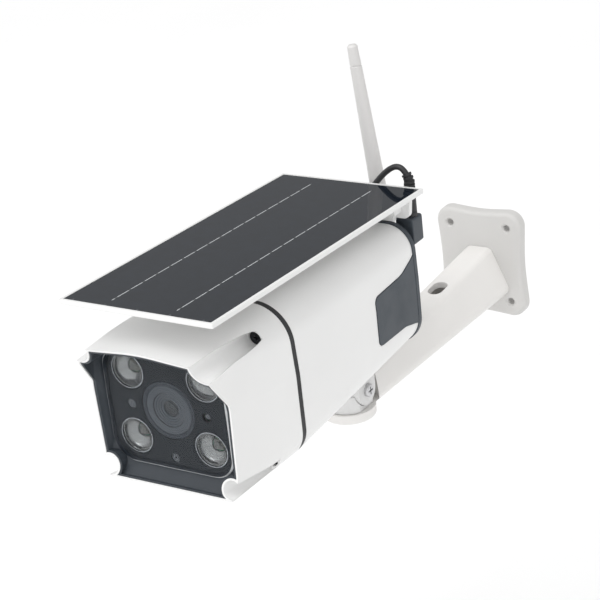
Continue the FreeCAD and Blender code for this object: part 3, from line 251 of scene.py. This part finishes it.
def metal(name, colour, roughness):
    """Plain or plated metal with fine turning or brushing marks and slight tarnish."""
    m = Builder(name)
    marks = m.noise(900.0, 4.0, stretch=(1.0, 1.0, 8.0))
    stain = m.noise(120.0, 4.0)
    colour_out = m.mix(m.spread(stain, 0.0, 1.0), shade(colour, 0.86), colour)
    rough_out = m.spread(marks, roughness, roughness + 0.16)
    normal = m.bump(marks, 0.00002, m.rounded(METAL_EDGE))
    return m.finish(m.principled(colour_out, rough_out, normal, Metallic=1.0))


def clear(name, tint, roughness, ior):
    """Thin clear sheet: what is behind shows through it, and it mirrors more at a grazing view."""
    m = Builder(name)
    facing = m.add("ShaderNodeLayerWeight")
    facing.inputs["Blend"].default_value = 0.5
    at_right_angles = ((ior - 1) / (ior + 1)) ** 2
    grazing = m.math("POWER", facing.outputs["Facing"], 5.0)
    mirrored = m.math("ADD", m.math("MULTIPLY", grazing, 1 - at_right_angles), at_right_angles)
    through = m.add("ShaderNodeBsdfTransparent")
    through.inputs["Color"].default_value = (*tint, 1.0)
    gloss = m.add("ShaderNodeBsdfGlossy")
    gloss.inputs["Color"].default_value = (1.0, 1.0, 1.0, 1.0)
    m.link(m.spread(m.noise(40.0, 4.0), roughness, roughness + 0.02), gloss.inputs["Roughness"])
    mixer = m.add("ShaderNodeMixShader")
    m.link(mirrored, mixer.inputs[0])
    m.link(through.outputs["BSDF"], mixer.inputs[1])
    m.link(gloss.outputs["BSDF"], mixer.inputs[2])
    return m.finish(mixer.outputs["Shader"])


def solid_glass(name, tint, roughness, ior):
    """Thick clear lens that bends what is seen through it."""
    m = Builder(name)
    node = m.add("ShaderNodeBsdfGlass")
    node.inputs["Color"].default_value = (*tint, 1.0)
    node.inputs["IOR"].default_value = ior
    m.link(m.spread(m.noise(60.0, 4.0), roughness, roughness + 0.03), node.inputs["Roughness"])
    return m.finish(node.outputs["BSDF"])


# ---- solar sheet ----------------------------------------------------------------------------------
FINGER_PITCH, TICK_PITCH, TICK_HALF_WIDTH = 0.0016, 0.0225, 0.0005
TICKS_FROM, TICKS_TO = -0.4105, -0.4072        # along Y, at the front edge
BUSBAR_RUN = 0.0131                            # one printed run and the gap after it


def solar_material():
    """Dark cells under a glossy film: fine fingers across, and faint ticks along the front edge."""
    m = Builder("solar_cells")
    x = m.axis(0)
    y = m.axis(1)
    fingers = m.math("SINE", m.math("MULTIPLY", y, 2 * math.pi / FINGER_PITCH))
    finger_line = m.spread(fingers, 0.0, 0.04, 0.90, 1.0)
    tick_x = m.math("PINGPONG", x, TICK_PITCH / 2)
    near_tick = m.math("LESS_THAN", tick_x, TICK_HALF_WIDTH)
    ticks = m.math("MULTIPLY", near_tick, m.band(y, TICKS_FROM, TICKS_TO))
    lines = m.math("MAXIMUM", finger_line, m.math("MULTIPLY", ticks, 0.25))
    crystal = m.mix(m.spread(m.noise(160.0, 3.0), 0.0, 1.0), (0.005, 0.008, 0.013), (0.008, 0.012, 0.019))
    colour = m.mix(lines, crystal, (0.30, 0.32, 0.34))
    rough = m.spread(m.noise(55.0, 5.0, distortion=0.5), 0.10, 0.18)
    normal = m.bump(m.noise(30.0, 2.0), 0.00004)
    shader = m.principled(colour, rough, normal, Specular_IOR_Level=0.0, Coat_Weight=0.84,
                          Coat_Roughness=0.04, Coat_IOR=1.38)
    return m.finish(shader)


def busbar_material():
    """Printed silver line that is broken into short runs."""
    m = Builder("panel_busbars")
    y = m.axis(1)
    run = m.math("FRACT", m.math("MULTIPLY", m.math("ADD", y, 1.0), 1 / BUSBAR_RUN))
    shown = m.band(run, 0.09, 0.91)
    speckle = m.spread(m.noise(700.0, 3.0), 0.75, 1.0)
    colour = m.mix(m.math("MULTIPLY", shown, speckle), (0.03, 0.035, 0.04), (0.50, 0.52, 0.54))
    return m.finish(m.principled(colour, m.spread(m.noise(400.0), 0.3, 0.45), Coat_Weight=1.0,
                                 Coat_Roughness=0.04))


def board_material():
    """Green circuit board with copper tracks and pads."""
    m = Builder("circuit_board")
    cells = m.add("ShaderNodeTexVoronoi", feature="DISTANCE_TO_EDGE")
    cells.inputs["Scale"].default_value = 260.0
    m.link(m.place, cells.inputs["Vector"])
    tracks = m.math("LESS_THAN", cells.outputs["Distance"], 0.05)
    pads = m.math("GREATER_THAN", m.noise(900.0, 1.0), 0.68)
    colour = m.mix(m.math("MULTIPLY", tracks, 0.6), (0.012, 0.085, 0.04), (0.05, 0.21, 0.10))
    colour = m.mix(pads, colour, (0.55, 0.43, 0.2))
    return m.finish(m.principled(colour, m.spread(m.noise(200.0), 0.3, 0.5), m.bump(tracks, 0.00005)))


def cell_wrap_material():
    """Shrink sleeve of a lithium cell, faintly creased."""
    m = Builder("cell_wrap")
    crease = m.noise(300.0, 4.0, stretch=(1.0, 0.15, 1.0))
    colour = m.mix(m.spread(crease, 0.0, 1.0), (0.03, 0.16, 0.34), (0.05, 0.22, 0.42))
    return m.finish(m.principled(colour, 0.3, m.bump(crease, 0.00005), Coat_Weight=0.5))


LENS_HEIGHT = 0.0648                           # height of the lens axis
GROOVE_PITCH, GROOVE_EDGE = 0.0011, (0.0106, 0.0112)


def turned_material():
    """Dark grey painted ring with fine turned grooves round the lens."""
    m = Builder("lens_grey")
    x = m.axis(0)
    up = m.math("ADD", m.axis(2), -LENS_HEIGHT)
    radius = m.math("SQRT", m.math("ADD", m.math("MULTIPLY", x, x), m.math("MULTIPLY", up, up)))
    wave = m.math("SINE", m.math("MULTIPLY", radius, 2 * math.pi / GROOVE_PITCH))
    grooves = m.spread(wave, 0.0, 1.0, -1.0, 1.0)
    edge = m.band(radius, *GROOVE_EDGE)
    colour = m.mix(grooves, (0.052, 0.060, 0.068), (0.088, 0.098, 0.108))
    colour = m.mix(m.math("MULTIPLY", edge, 0.6), colour, (0.02, 0.022, 0.025))
    return m.finish(m.principled(colour, m.spread(m.noise(300.0), 0.30, 0.42), m.bump(grooves, 0.00004)))


WHITE = (0.80, 0.80, 0.795)
PLATE_PAINTED_SHADE = (-0.0095, 0.01, (0.60, 0.592, 0.578))      # the wall plate, behind the arm, painted darker than the arm as painted shade
MATERIALS = dict(
    arm_white=moulded("arm_white", (0.79, 0.775, 0.755), 0.42, grain=1100.0, depth=0.00005, mottle=0.02,
                      shade_band=PLATE_PAINTED_SHADE),
    swivel_grey=moulded("swivel_grey", (0.68, 0.68, 0.675), 0.40, grain=1800.0, depth=0.00006, mottle=0.05),
    steel=metal("steel", (0.62, 0.62, 0.63), 0.22),
    body_white=moulded("body_white", WHITE, 0.34, grain=1500.0, depth=0.00002, mottle=0.012,
                       Coat_Weight=0.15, Coat_Roughness=0.2),
    gasket_black=moulded("gasket_black", (0.022, 0.022, 0.024), 0.62, grain=900.0, depth=0.00006,
                         mottle=0.15),
    back_black=moulded("back_black", (0.052, 0.062, 0.074), 0.45, grain=1300.0, depth=0.00005, mottle=0.06,
                       Specular_IOR_Level=0.35),
    face_black=moulded("face_black", (0.034, 0.041, 0.050), 0.42, grain=1500.0, depth=0.00003, mottle=0.06,
                       Specular_IOR_Level=0.4),
    window_glass=clear("window_glass", (0.91, 0.92, 0.935), roughness=0.01, ior=1.2),
    screw_black=metal("screw_black", (0.06, 0.062, 0.066), 0.4),
    lens_grey=turned_material(),
    sensor_dark=moulded("sensor_dark", (0.085, 0.095, 0.102), 0.14, grain=2500.0, depth=0.000005, mottle=0.1,
                        Coat_Weight=0.6),
    mask_black=moulded("mask_black", (0.014, 0.018, 0.022), 0.40, grain=600.0, depth=0.000002, mottle=0.05,
                       Specular_IOR_Level=0.2),
    reflector_chrome=metal("reflector_chrome", (0.36, 0.345, 0.325), 0.04),
    lamp_glass=solid_glass("lamp_glass", (0.96, 0.97, 0.97), roughness=0.02, ior=1.45),
    lamp_olive=moulded("lamp_olive", (0.16, 0.15, 0.12), 0.4, grain=3000.0, depth=0.00003, mottle=0.1),
    board_green=board_material(),
    cell_wrap=cell_wrap_material(),
    inner_black=moulded("inner_black", (0.03, 0.03, 0.033), 0.55, mottle=0.08),
    panel_white=moulded("panel_white", WHITE, 0.32, grain=1200.0, depth=0.00001, mottle=0.012,
                        Coat_Weight=0.2, Coat_Roughness=0.15),
    cell_blue=solar_material(),
    busbar_silver=busbar_material(),
    lead_black=moulded("lead_black", (0.020, 0.020, 0.022), 0.42, grain=1600.0, depth=0.00003, mottle=0.12),
    contact_brass=metal("contact_brass", (0.78, 0.60, 0.28), 0.2),
    antenna_white=moulded("antenna_white", (0.66, 0.65, 0.64), 0.38, grain=1500.0, depth=0.00003,
                          mottle=0.02),
    switch_grey=moulded("switch_grey", (0.30, 0.30, 0.32), 0.5))

for entry in frame["record"]["subparts"]:
    obj = nodes[entry["node"]]
    obj.data.materials.clear()
    obj.data.materials.append(MATERIALS[entry["material_slot"]])
lead.data.materials.append(MATERIALS["lead_black"])

# the mouth of each lamp holder is plated
holders = nodes["lamp_holders"].data
holders.materials.append(metal("lamp_ring", (0.72, 0.74, 0.75), 0.14))
for polygon in holders.polygons:
    if polygon.normal.y < -0.3:
        polygon.material_index = 1

# the bevel round the window gets a near-white colour, a painted highlight, so it shows as a pale line
pane = nodes["face_window"].data
pane.materials.append(moulded("window_painted_highlight", (0.92, 0.94, 0.95), 0.16, depth=0.000005))
for polygon in pane.polygons:
    if -0.95 < polygon.normal.y < -0.3:
        polygon.material_index = 1

# ---- smooth shading on the curved solids -----------------------------------------------------------
WELD_DISTANCE, CREASE_ANGLE = 0.000002, math.radians(28)
for name, obj in nodes.items():
    weld = obj.modifiers.new("weld", "WELD")
    weld.merge_threshold = WELD_DISTANCE
    split = obj.modifiers.new("creases", "EDGE_SPLIT")
    split.split_angle = CREASE_ANGLE
    for polygon in obj.data.polygons:
        polygon.use_smooth = True

# ---- surroundings ---------------------------------------------------------------------------------
floor_mesh = bpy.data.meshes.new("floor")
HALF, DROP = 6.0, cad_low.z - 0.25             # half the floor's side, and its height
corners = [(-HALF, -HALF, DROP), (HALF, -HALF, DROP), (HALF, HALF, DROP), (-HALF, HALF, DROP)]
floor_mesh.from_pydata(corners, [], [(0, 1, 2, 3)])
floor = bpy.data.objects.new("floor", floor_mesh)
scene.collection.objects.link(floor)
floor_maker = Builder("floor")
tone = floor_maker.mix(floor_maker.spread(floor_maker.noise(3.0, 2.0), 0.0, 1.0), (0.93, 0.93, 0.93),
                       (0.95, 0.95, 0.95))
floor_mesh.materials.append(floor_maker.finish(floor_maker.principled(tone, 0.9)))

world = bpy.data.worlds.new("studio")
scene.world = world
world.use_nodes = True
sky = world.node_tree
where = sky.nodes.new("ShaderNodeTexCoord")
split_where = sky.nodes.new("ShaderNodeSeparateXYZ")
sky.links.new(where.outputs["Generated"], split_where.inputs["Vector"])


def sky_math(operation, a, b):
    node = sky.nodes.new("ShaderNodeMath")
    node.operation = operation
    for value, socket in zip((a, b), node.inputs):
        if isinstance(value, float):
            socket.default_value = value
        else:
            sky.links.new(value, socket)
    return node.outputs["Value"]


SKY_LEVEL, SKY_RISE, SKY_FRONT = 0.745, 0.39, 0.42
lift = sky_math("MULTIPLY", split_where.outputs["Z"], SKY_RISE)
front = sky_math("MULTIPLY", split_where.outputs["Y"], -SKY_FRONT)
level = sky_math("MAXIMUM", sky_math("ADD", sky_math("ADD", lift, front), SKY_LEVEL), 0.05)
sky.links.new(level, sky.nodes["Background"].inputs["Strength"])
sky.nodes["Background"].inputs["Color"].default_value = (1.0, 1.0, 1.0, 1.0)


def area_light(name, at, towards, size, power):
    data = bpy.data.lights.new(name, "AREA")
    data.shape = "RECTANGLE"
    data.size, data.size_y = size
    data.energy = power
    lamp = bpy.data.objects.new(name, data)
    scene.collection.objects.link(lamp)
    lamp.location = at
    lamp.rotation_mode = "QUATERNION"
    lamp.rotation_quaternion = (Vector(towards) - Vector(at)).to_track_quat("-Z", "Y")


CENTRE = (cad_low + cad_high) / 2
KEY_AT, KEY_SIZE, KEY_POWER = (-0.2, -1.9, 3.0), (1.8, 1.8), 26.0
area_light("key", KEY_AT, CENTRE, KEY_SIZE, KEY_POWER)

scene.view_settings.view_transform = "Standard"
